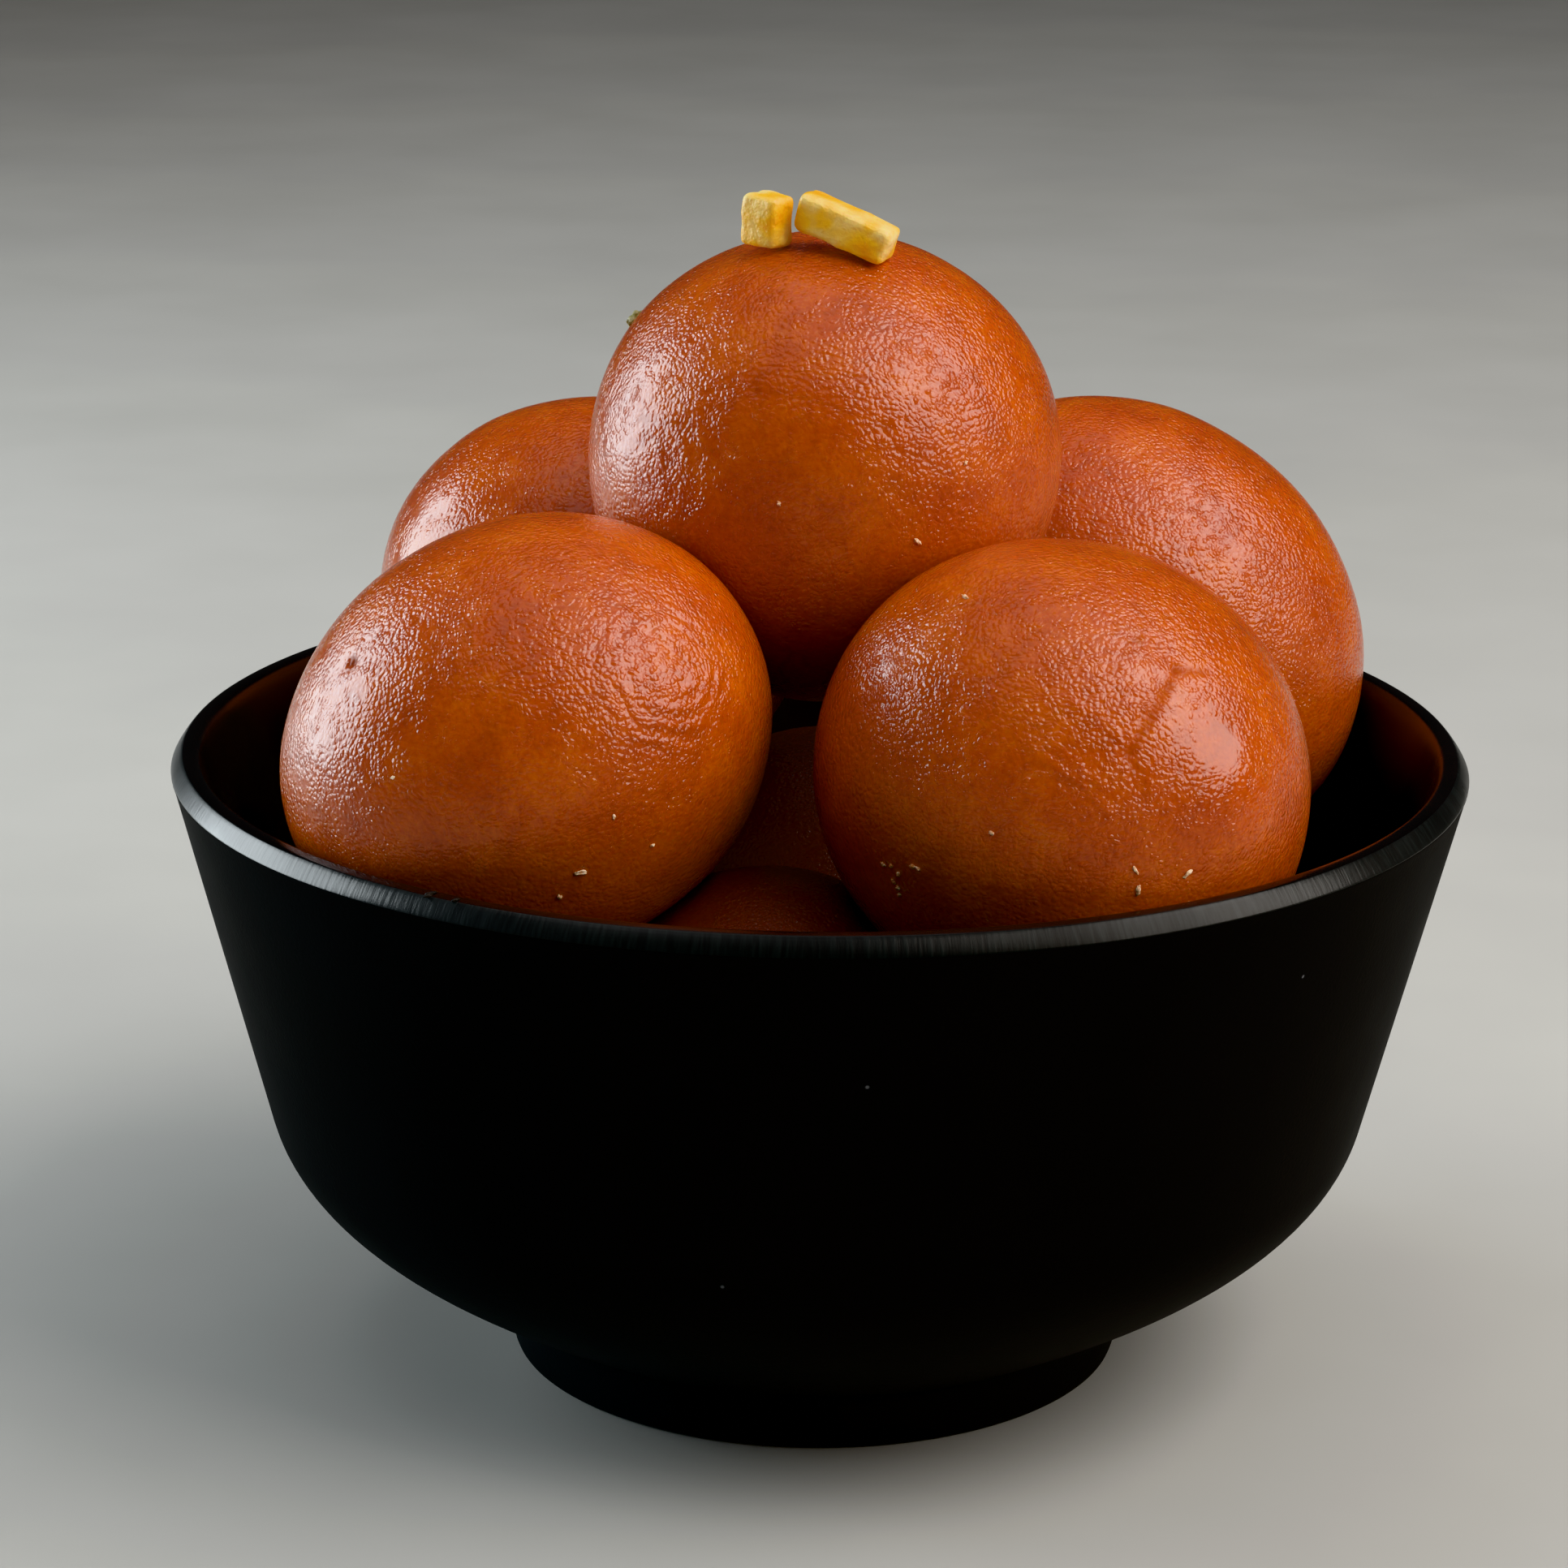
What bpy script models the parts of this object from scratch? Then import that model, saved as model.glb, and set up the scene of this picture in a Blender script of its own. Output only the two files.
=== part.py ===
"""Gulab jamun heaped in a small black rice bowl, with two slivers of saffron-yellow nut on top.

The bowl is one turned piece of moulded melamine. The balls are fried milk dough soaked in syrup,
so they are soft: where two of them press together, or one leans on the bowl, they are flat.
Units are metres and +Z is up. The bowl's foot stands on z = 0, its axis is the Z axis, and the
side that a guest sees, with the two front balls, faces -Y.
"""
import math

import bmesh
import bpy
from mathutils import Matrix, Vector
from mathutils.bvhtree import BVHTree
from mathutils.geometry import interpolate_bezier

MM = 0.001

# The bowl.
BOWL_RADIUS = 60.0 * MM          # outside, at the lip
BOWL_HEIGHT = 59.2 * MM
WALL = 3.0 * MM
FOOT_RADIUS = 28.9 * MM          # outside, at the foot ring
FOOT_HEIGHT = 5.0 * MM
FOOT_RING_WIDTH = 3.2 * MM
FOOT_RECESS = 3.4 * MM           # how far the base is raised inside the foot ring
FOOT_EDGE = 0.5 * MM             # chamfer on the ring's two lower edges
BELLY_RADIUS = 51.6 * MM         # outside, where the belly turns into the straight wall
BELLY_HEIGHT = 24.5 * MM
BELLY_PULL = 8.5 * MM            # how far the belly's curve keeps to the wall's line
BASE_PULL = 10.5 * MM            # how far out it leaves the foot before it turns up
BASE_SLOPE = 0.56
LIP_DROP = 1.5 * MM              # the lip is a band that slants down and out by this much
LIP_CREST_RADIUS = 59.0 * MM     # the band's upper edge
LIP_PULL = 0.9 * MM              # roundness of the lip's inner edge
FLOOR_HEIGHT = 8.0 * MM          # the inside, at the bowl's middle
FLOOR_RADIUS = 25.0 * MM         # the nearly flat middle of the inside
FLOOR_RISE = 0.8 * MM            # how far it has risen there
BOWL_STEPS = 56
BELLY_POINTS = 9
LIP_POINTS = 4
MERGE = 0.05 * MM

# The balls.
BALL_SEGMENTS = 22
BALL_RINGS = 13
GAP = 0.3 * MM                   # left between two pieces that touch
WALL_GAP = 0.45 * MM             # the same at the bowl's wall, whose facets cut in a little
LOBE = 0.28 * MM                 # height of the broad lumps that a hand-rolled ball has
LOBE_WAVES = 3                   # waves summed over each ball, each along its own axis
LOBE_FREQUENCY = 2.3
WAVE_TURN = 2.4                  # radians from one wave's axis to the next, round and up
WAVE_PITCH = 0.9
BALL_TURN = 1.7                  # the same from one ball to the next
BALL_PITCH = 0.6

# Each ball: its place as (degrees round the bowl from +X, distance from the axis, height of its
# middle), its half-sizes (across, deep, tall), how far it leans to the right in degrees, and how
# much fuller its upper half is than its lower half.
BALLS = {
    "ball_top": ((-82.0, 2.4, 85.15), (21.3, 20.9, 21.55), -6.0, 0.060),
    "ball_front_left": ((224.6, 36.3, 65.9), (22.05, 20.8, 19.2), -28.0, 0.0),
    "ball_front_right": ((305.3, 36.1, 63.9), (21.8, 21.0, 20.8), 29.0, 0.0),
    "ball_back_left": ((129.7, 34.3, 65.3), (20.9, 21.4, 20.1), 8.0, 0.0),
    "ball_back_right": ((34.4, 36.5, 64.3), (24.4, 20.0, 21.0), 43.0, 0.0),
    "ball_low_front": ((259.0, 28.9, 34.2), (19.2, 20.0, 20.4), 8.0, 0.0),
    "ball_low_back": ((86.7, 25.8, 31.2), (20.6, 20.3, 21.0), -4.0, 0.0),
    "ball_low_left": ((179.0, 28.5, 33.0), (20.0, 20.4, 20.4), 5.0, 0.0),
    "ball_low_right": ((349.2, 26.8, 31.8), (20.2, 20.4, 20.0), 0.0, 0.0),
}

# The nut slivers: size (length along their own X, width, height), place over the ball in X and Y,
# turn round the vertical, lean of the far end downwards, how much that end is thinner, and how far
# the top of the near end stands out past its foot, in mm.
NUTS = {
    "nut_left": ((3.9, 3.2, 4.6), (-5.2, -5.8), -38.0, 3.0, 0.0, 0.0),
    "nut_right": ((8.7, 3.8, 3.4), (2.0, -7.8), -22.0, 19.5, 0.04, 0.55),
}
NUT_ROUND = 0.55 * MM
NUT_SHARP = 50.0                 # edges turning more than this many degrees stay sharp

# Colours are linear.
BOWL_BLACK = (0.006, 0.006, 0.0065)
SYRUP_BROWN = (0.40, 0.088, 0.008)
SAFFRON_YELLOW = (0.88, 0.42, 0.045)


def clear_scene():
    for old in list(bpy.data.objects):
        bpy.data.objects.remove(old, do_unlink=True)


def new_collection(name):
    collection = bpy.data.collections.new(name)
    bpy.context.scene.collection.children.link(collection)
    return collection


def make_material(name, color, roughness, metallic=0.0):
    material = bpy.data.materials.new(name)
    material.use_nodes = True
    shader = material.node_tree.nodes["Principled BSDF"]
    shader.inputs["Base Color"].default_value = (*color, 1.0)
    shader.inputs["Roughness"].default_value = roughness
    shader.inputs["Metallic"].default_value = metallic
    return material


def add_object(name, mesh, material, collection):
    piece = bpy.data.objects.new(name, mesh)
    mesh.materials.append(material)
    collection.objects.link(piece)
    return piece


def curve(start, start_pull, end_pull, end, count):
    """Points of a Bezier curve in the bowl's section, each given as (radius, height)."""
    points = [Vector((*point, 0.0)) for point in (start, start_pull, end_pull, end)]
    return [(point.x, point.y) for point in interpolate_bezier(*points, count)]


def outer_wall():
    """From the outer edge of the slanted lip down to the foot."""
    top = (BOWL_RADIUS, BOWL_HEIGHT - LIP_DROP)
    flare = (top[0] - BELLY_RADIUS) / (top[1] - BELLY_HEIGHT)
    bend = (BELLY_RADIUS, BELLY_HEIGHT)
    bend_pull = (BELLY_RADIUS - flare * BELLY_PULL, BELLY_HEIGHT - BELLY_PULL)
    base = (FOOT_RADIUS, FOOT_HEIGHT)
    base_end = (FOOT_RADIUS + BASE_PULL, FOOT_HEIGHT + BASE_SLOPE * BASE_PULL)
    return [top] + curve(bend, bend_pull, base_end, base, BELLY_POINTS)


def inner_wall():
    """From the edge of the nearly flat floor up to the lip: one wall thickness inside the outer."""
    points = []
    outer = list(reversed(outer_wall()))
    for before, point, after in zip(outer, outer[1:], outer[2:] + [outer[-1]]):
        along = Vector((after[0] - before[0], after[1] - before[1])).normalized()
        points.append((point[0] - along.y * WALL, point[1] + along.x * WALL))
    points[-1] = (BOWL_RADIUS - WALL, BOWL_HEIGHT - LIP_DROP)
    return [point for point in points if point[0] > FLOOR_RADIUS + WALL]


def lip():
    """The lip's rounded inner edge, up to its crest. The slanted band runs down from there."""
    inside = (BOWL_RADIUS - WALL, BOWL_HEIGHT - LIP_DROP)
    crest = (LIP_CREST_RADIUS, BOWL_HEIGHT)
    up = (inside[0], inside[1] + LIP_PULL)
    across = (crest[0] - LIP_PULL, crest[1])
    return curve(inside, up, across, crest, LIP_POINTS)[1:]


def foot():
    """From the foot's side round its flat underside and into the recess."""
    inside = FOOT_RADIUS - FOOT_RING_WIDTH
    return [
        (FOOT_RADIUS, FOOT_EDGE),
        (FOOT_RADIUS - FOOT_EDGE, 0.0),
        (inside + FOOT_EDGE, 0.0),
        (inside, FOOT_EDGE),
        (inside - 2 * FOOT_EDGE, FOOT_RECESS),
        (0.0, FOOT_RECESS),
    ]


def make_bowl(material, collection):
    """The bowl's whole section, turned round the Z axis."""
    floor = [(0.0, FLOOR_HEIGHT), (FLOOR_RADIUS, FLOOR_HEIGHT + FLOOR_RISE)]
    section = floor + inner_wall() + lip() + outer_wall() + foot()
    mesh = bpy.data.meshes.new("bowl")
    shape = bmesh.new()
    corners = [shape.verts.new((radius, 0.0, height)) for radius, height in section]
    for first, second in zip(corners, corners[1:]):
        shape.edges.new((first, second))
    shape.to_mesh(mesh)
    shape.free()
    bowl = add_object("bowl", mesh, material, collection)
    turn = bowl.modifiers.new("turn", "SCREW")
    turn.axis = "Z"
    turn.angle = math.tau
    turn.steps = BOWL_STEPS
    turn.render_steps = BOWL_STEPS
    turn.use_merge_vertices = True
    turn.merge_threshold = MERGE
    turn.use_smooth_shade = True
    return bowl


def lumps(direction, number):
    """How far a hand-rolled ball stands proud of a true one, from -1 to 1."""
    height = 0.0
    for wave in range(LOBE_WAVES):
        turn = WAVE_TURN * (wave + 1) + BALL_TURN * number
        pitch = WAVE_PITCH * wave + BALL_PITCH * number
        flat = math.cos(pitch)
        axis = Vector((math.cos(turn) * flat, math.sin(turn) * flat, math.sin(pitch)))
        height += math.sin((LOBE_FREQUENCY + wave) * direction.dot(axis) + number + wave)
    return height / LOBE_WAVES


def ball_place(place):
    degrees, distance, height = place
    angle = math.radians(degrees)
    return Vector((distance * math.cos(angle), distance * math.sin(angle), height)) * MM


def make_ball_shape(number, place, half_sizes, lean, fullness):
    """An uneven ball as a bmesh in its final place."""
    shape = bmesh.new()
    bmesh.ops.create_uvsphere(shape, u_segments=BALL_SEGMENTS, v_segments=BALL_RINGS, radius=1.0)
    across, deep, tall = (size * MM for size in half_sizes)
    for vert in shape.verts:
        direction = vert.co.normalized()
        spread = 1 + fullness * direction.z
        point = Vector((direction.x * across * spread, direction.y * deep * spread, direction.z * tall))
        vert.co = point + direction * LOBE * lumps(direction, number)
    turn = Matrix.Rotation(math.radians(lean), 4, "Y")
    bmesh.ops.transform(shape, matrix=Matrix.Translation(ball_place(place)) @ turn, verts=shape.verts)
    return shape


def reach(shape, middle, direction):
    return max((vert.co - middle).dot(direction) for vert in shape.verts)


def flatten(shape, middle, direction, limit):
    """Push whatever lies further than limit along direction back to a plane there."""
    for vert in shape.verts:
        excess = (vert.co - middle).dot(direction) - limit
        if excess > 0:
            vert.co -= direction * excess


def press_together(first, first_middle, second, second_middle):
    """Two balls that overlap share a flat between them, with a gap."""
    apart = second_middle - first_middle
    direction = apart.normalized()
    first_reach = reach(first, first_middle, direction)
    second_reach = reach(second, second_middle, -direction)
    excess = first_reach + second_reach + GAP - apart.length
    if excess > 0:
        flatten(first, first_middle, direction, first_reach - excess / 2)
        flatten(second, second_middle, -direction, second_reach - excess / 2)


def press_to_bowl(shape):
    """Keep a ball inside the bowl. The straight wall's line is followed up past the lip as well."""
    wall = [(0.0, FLOOR_HEIGHT), (FLOOR_RADIUS, FLOOR_HEIGHT + FLOOR_RISE)] + inner_wall()
    for low, high in zip(wall, wall[1:]):
        along = Vector((high[0] - low[0], high[1] - low[1])).normalized()
        inward = Vector((-along.y, along.x))
        for vert in shape.verts:
            radius = math.hypot(vert.co.x, vert.co.y)
            clear = Vector((radius - low[0], vert.co.z - low[1])).dot(inward)
            if clear < WALL_GAP:
                push = WALL_GAP - clear
                scale = (radius + inward.x * push) / radius
                vert.co = Vector((vert.co.x * scale, vert.co.y * scale, vert.co.z + inward.y * push))


def make_balls(material, collection):
    shapes = []
    middles = []
    for number, (place, half_sizes, lean, fullness) in enumerate(BALLS.values()):
        shapes.append(make_ball_shape(number, place, half_sizes, lean, fullness))
        middles.append(ball_place(place))
    for shape in shapes:
        press_to_bowl(shape)
    for first in range(len(shapes)):
        for second in range(first + 1, len(shapes)):
            press_together(shapes[first], middles[first], shapes[second], middles[second])
    balls = {}
    for name, shape in zip(BALLS, shapes):
        mesh = bpy.data.meshes.new(name)
        bmesh.ops.recalc_face_normals(shape, faces=shape.faces)
        shape.to_mesh(mesh)
        shape.free()
        mesh.shade_smooth()
        balls[name] = add_object(name, mesh, material, collection)
    return balls


def make_nut(name, size, place, turn, lean, slant, overhang, ball, material, collection):
    """A sliver cut from a nut, laid on the ball: one end may be thinner and its edges are round."""
    shape = bmesh.new()
    bmesh.ops.create_cube(shape, size=1.0)
    for vert in shape.verts:
        taper = 1 - slant * (vert.co.x + 0.5)
        near_top = (0.5 - vert.co.x) * (0.5 + vert.co.z)
        corner = (vert.co.x * size[0] - overhang * near_top, vert.co.y * size[1] * taper,
                  vert.co.z * size[2] * taper)
        vert.co = Vector(corner) * MM
    bmesh.ops.bevel(shape, geom=shape.edges[:], offset=NUT_ROUND, offset_type="OFFSET", segments=2,
                    profile=0.5, affect="EDGES", material=-1)
    tilt = Matrix.Rotation(math.radians(turn), 4, "Z") @ Matrix.Rotation(math.radians(lean), 4, "Y")
    above = Matrix.Translation((place[0] * MM, place[1] * MM, 2 * BOWL_HEIGHT))
    bmesh.ops.transform(shape, matrix=above @ tilt, verts=shape.verts)
    crown = BVHTree.FromPolygons([vert.co for vert in ball.data.vertices],
                                 [face.vertices for face in ball.data.polygons])
    drops = []
    for vert in shape.verts:
        hit = crown.ray_cast(vert.co, Vector((0.0, 0.0, -1.0)))
        if hit[0] is not None:
            drops.append(vert.co.z - hit[0].z)
    bmesh.ops.translate(shape, vec=(0.0, 0.0, GAP - min(drops)), verts=shape.verts)
    mesh = bpy.data.meshes.new(name)
    shape.to_mesh(mesh)
    shape.free()
    mesh.shade_smooth()
    mesh.set_sharp_from_angle(angle=math.radians(NUT_SHARP))
    return add_object(name, mesh, material, collection)


def make_gulab_jamun():
    clear_scene()
    collection = new_collection("gulab_jamun_bowl")
    melamine = make_material("black_melamine", BOWL_BLACK, 0.42)
    dough = make_material("syrup_glazed_dough", SYRUP_BROWN, 0.3)
    saffron = make_material("saffron_nut", SAFFRON_YELLOW, 0.45)
    make_bowl(melamine, collection)
    balls = make_balls(dough, collection)
    for name, nut in NUTS.items():
        make_nut(name, *nut, balls["ball_top"], saffron, collection)


make_gulab_jamun()
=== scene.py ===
"""Gulab jamun heaped in a small black bowl: fried milk-dough balls soaked in syrup, the top one
dressed with two slivers of saffron-coloured nut.

The sections follow the order the dish is put together in: bowl, balls, nut slivers, crumbs, then
the table and lamps it stands under and the camera. Shapes are made in millimetres, in the frame
of the CAD model, and are turned into metres when a piece is finished.
"""
import math

import bmesh
import bpy
from mathutils import Matrix, Vector, noise
from mathutils.bvhtree import BVHTree
from mathutils.geometry import interpolate_bezier


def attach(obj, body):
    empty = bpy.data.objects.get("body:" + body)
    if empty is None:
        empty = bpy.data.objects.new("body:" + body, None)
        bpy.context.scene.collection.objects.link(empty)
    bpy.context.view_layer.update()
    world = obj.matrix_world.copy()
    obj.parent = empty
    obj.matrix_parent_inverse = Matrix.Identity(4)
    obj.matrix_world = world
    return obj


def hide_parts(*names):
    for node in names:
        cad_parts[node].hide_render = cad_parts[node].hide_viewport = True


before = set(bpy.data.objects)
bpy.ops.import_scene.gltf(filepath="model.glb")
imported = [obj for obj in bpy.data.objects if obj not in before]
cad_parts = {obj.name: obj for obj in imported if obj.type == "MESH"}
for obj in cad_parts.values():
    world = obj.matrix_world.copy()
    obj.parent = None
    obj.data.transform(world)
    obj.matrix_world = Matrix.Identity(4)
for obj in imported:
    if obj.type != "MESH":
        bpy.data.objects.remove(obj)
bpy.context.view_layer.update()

# ---------------------------------------------------------------------------------------------
# The bowl: a small footed rice bowl pressed in one piece from black melamine. The outside is
# satin, the inside is polished, and the lip's outer edge is a narrow steep band where the mould's
# flash was rubbed off, so it shows as a grey line, finely scratched across.

MM = 0.001                       # one millimetre in metres
WALL = 3.0
TOP = 59.2
LIP_OUTSIDE = (60.0, 57.6)       # lower edge of the steep band, (radius, height)
LIP_CREST = (59.0, 59.05)        # upper edge of the band
LIP_CREST_ROOM = 0.1             # how far inside the crest a face still counts as the band
LIP_TOP = (58.1, TOP)            # where the lip's flat top rolls over to the inside
BELLY = (51.6, 24.5)             # where the straight wall turns into the belly
FLARE_TOP = 57.7                 # the straight wall's slope is taken from the belly to here
WALL_RINGS = (4.0, 10.0, 17.0, 24.0, 29.0, 31.8, 32.6)    # heights above the belly
FOOT_TOP = (28.9, 5.0)
FOOT_INSIDE = 25.7
FOOT_RECESS = 3.4
FLOOR_EDGE = (25.0, 8.8)
FLOOR_MIDDLE = (0.0, 8.0)
UNDERSIDE = 6.0                  # faces lower than this are never the inside
FACES_UP = 0.4                   # a face whose normal rises more than this belongs to the inside
BELLY_PULL = 8.5                 # how far the belly's curve leaves the wall's line
BASE_PULL = 10.5                 # how far it leaves the base's line
BASE_SLOPE = 0.56                # how much the base rises for each millimetre outwards
BOWL_STEPS = 180


def colour(code):
    """An sRGB hex colour as linear RGBA."""
    parts = [int(code[place:place + 2], 16) / 255 for place in (1, 3, 5)]
    return (*[p / 12.92 if p <= 0.04045 else ((p + 0.055) / 1.055) ** 2.4 for p in parts], 1.0)


def add_node(tree, kind, settings):
    """One shader node. Each setting is a property, a ramp's stops, a socket's value, or the
    output feeding it."""
    made = tree.nodes.new("ShaderNode" + kind)
    for name, value in settings.items():
        if name == "stops":
            steps = made.color_ramp.elements
            while len(steps) < len(value):
                steps.new(1.0)
            for step, (place, shade) in zip(steps, value):
                step.position = place
                step.color = shade
        elif isinstance(value, bpy.types.NodeSocket):
            tree.links.new(value, made.inputs[name])
        elif isinstance(name, str) and hasattr(made, name):
            setattr(made, name, value)
        else:
            made.inputs[name].default_value = value
    return made


def new_material(name):
    """An empty material, and its tree, shader and a position on the piece in millimetres, so a
    pattern's scale is how many of its lumps there are to a millimetre."""
    made = bpy.data.materials.new(name)
    made.use_nodes = True
    tree = made.node_tree
    place = add_node(tree, "TexCoord", {}).outputs["Object"]
    place = add_node(tree, "Mapping", {"Vector": place, "Scale": (1 / MM, 1 / MM, 1 / MM)})
    return made, tree, tree.nodes["Principled BSDF"], place.outputs["Vector"]


def finish_piece(name, shape, materials, slot, *stands_for):
    """Turns a shape in millimetres into a closed mesh in metres that rides on the dish."""
    bmesh.ops.remove_doubles(shape, verts=shape.verts, dist=0.001)
    bmesh.ops.recalc_face_normals(shape, faces=shape.faces)
    bmesh.ops.scale(shape, vec=(MM, MM, MM), verts=shape.verts)
    mesh = bpy.data.meshes.new(name)
    shape.to_mesh(mesh)
    shape.free()
    mesh.shade_smooth()
    for material in materials:
        mesh.materials.append(material)
    made = bpy.data.objects.new(name, mesh)
    bpy.context.scene.collection.objects.link(made)
    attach(made, "root")
    if stands_for:
        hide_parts(*stands_for)
    return made


def curve(start, start_pull, end_pull, end, count):
    """Points of a Bezier curve in a section, each given as (radius, height)."""
    points = [Vector((*point, 0.0)) for point in (start, start_pull, end_pull, end)]
    return [(point.x, point.y) for point in interpolate_bezier(*points, count)]


def wall_outside():
    """From the foot up to the lip's band."""
    flare = (LIP_OUTSIDE[0] - BELLY[0]) / (FLARE_TOP - BELLY[1])
    base_end = (FOOT_TOP[0] + BASE_PULL, FOOT_TOP[1] + BASE_SLOPE * BASE_PULL)
    bend_pull = (BELLY[0] - flare * BELLY_PULL, BELLY[1] - BELLY_PULL)
    rise = [(BELLY[0] + flare * ring, BELLY[1] + ring) for ring in WALL_RINGS]
    return curve(FOOT_TOP, base_end, bend_pull, BELLY, 28) + rise


def wall_inside():
    """The outside wall moved in by the wall's thickness, from the floor's edge to the lip."""
    outside = wall_outside()
    points = []
    for before, point, after in zip(outside, outside[1:], outside[2:]):
        along = Vector((after[0] - before[0], after[1] - before[1])).normalized()
        points.append((point[0] - along.y * WALL, point[1] + along.x * WALL))
    return [point for point in points if point[0] > FLOOR_EDGE[0] + WALL]


def bowl_section():
    """The whole section, from the middle of the floor over the lip to the middle of the base.
    Each pair of numbers is a (radius, height) on it, or a curve's handle."""
    floor = curve(FLOOR_MIDDLE, (12.0, 8.0), (18.0, 8.1), FLOOR_EDGE, 8)
    inner_lip = curve(wall_inside()[-1], (57.1, 58.9), (57.4, TOP), LIP_TOP, 8)
    shoulder = curve(LIP_TOP, (58.6, TOP), (58.85, 59.17), LIP_CREST, 6)
    band = curve(LIP_CREST, (59.35, 58.66), (59.68, 58.22), (59.95, 57.72), 6)
    corner = [LIP_OUTSIDE, (59.98, 57.45)]
    foot_side = [(28.75, 4.6), (28.8, 4.0), (28.9, 2.0), (28.9, 0.5), (28.75, 0.14), (28.4, 0.0)]
    foot_ring = [(26.2, 0.0), (25.85, 0.14), (FOOT_INSIDE, 0.5), (25.2, 2.2), (24.0, FOOT_RECESS)]
    base = [(12.0, FOOT_RECESS), (0.0, FOOT_RECESS)]
    outside = list(reversed(wall_outside()))
    return (floor + wall_inside()[:-1] + inner_lip + shoulder[1:] + band[1:] + corner + outside
            + foot_side + foot_ring + base)


def make_bowl_shape():
    """The section turned full round, with its faces sorted into satin, rubbed and polished."""
    shape = bmesh.new()
    corners = [shape.verts.new((radius, 0.0, height)) for radius, height in bowl_section()]
    edges = [shape.edges.new(pair) for pair in zip(corners, corners[1:])]
    bmesh.ops.spin(shape, geom=corners + edges, cent=(0.0, 0.0, 0.0), axis=(0.0, 0.0, 1.0),
                   angle=math.tau, steps=BOWL_STEPS, use_merge=True, use_duplicate=False)
    bmesh.ops.remove_doubles(shape, verts=shape.verts, dist=0.001)
    bmesh.ops.recalc_face_normals(shape, faces=shape.faces)
    for face in shape.faces:
        middle = face.calc_center_median()
        outward = Vector((middle.x, middle.y, 0.0)).normalized()
        far_out = math.hypot(middle.x, middle.y) > LIP_CREST[0] - LIP_CREST_ROOM
        faces_in = face.normal.dot(outward) < 0.0 or face.normal.z > FACES_UP
        if middle.z > LIP_OUTSIDE[1] and far_out:
            face.material_index = 1
        elif middle.z > UNDERSIDE and faces_in:
            face.material_index = 2
    return shape


def melamine_satin():
    """Moulded melamine with a fine blasted texture: nearly black, with a soft wide sheen that
    drifts over 16 mm, and a few specks of dust 9 mm apart. The 0.4 mm grit is drawn coarser than
    the real one, so that it shows."""
    made, tree, shader, place = new_material("melamine_moulded_satin")
    shader.inputs["IOR"].default_value = 1.5
    shader.inputs["Specular IOR Level"].default_value = 0.06
    cloud = add_node(tree, "TexNoise", {"Vector": place, "Scale": 0.06, "Detail": 4.0})
    grit = add_node(tree, "TexNoise", {"Vector": place, "Scale": 2.6, "Detail": 2.0})
    tint = add_node(tree, "ValToRGB", {"Fac": cloud.outputs[0], "stops": [
        (0.35, colour("#0B0B0C")), (0.7, colour("#131314"))]})
    dust = add_node(tree, "TexVoronoi", {"Vector": place, "Scale": 0.11, "Randomness": 1.0})
    speck = add_node(tree, "MapRange", {"Value": dust.outputs["Distance"], "From Min": 0.012,
                                        "From Max": 0.026, "To Min": 0.55, "To Max": 0.0})
    tint = add_node(tree, "Mix", {"data_type": "RGBA", 0: speck.outputs[0],
                                  6: tint.outputs[0], 7: colour("#8A8C90")})
    tree.links.new(tint.outputs[2], shader.inputs["Base Color"])
    sheen = add_node(tree, "MapRange", {"Value": cloud.outputs[0], "From Min": 0.3, "From Max": 0.7,
                                        "To Min": 0.48, "To Max": 0.58})
    tree.links.new(sheen.outputs[0], shader.inputs["Roughness"])
    relief = add_node(tree, "Bump", {"Height": grit.outputs[0], "Distance": 0.02 * MM})
    tree.links.new(relief.outputs[0], shader.inputs["Normal"])
    return made


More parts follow.
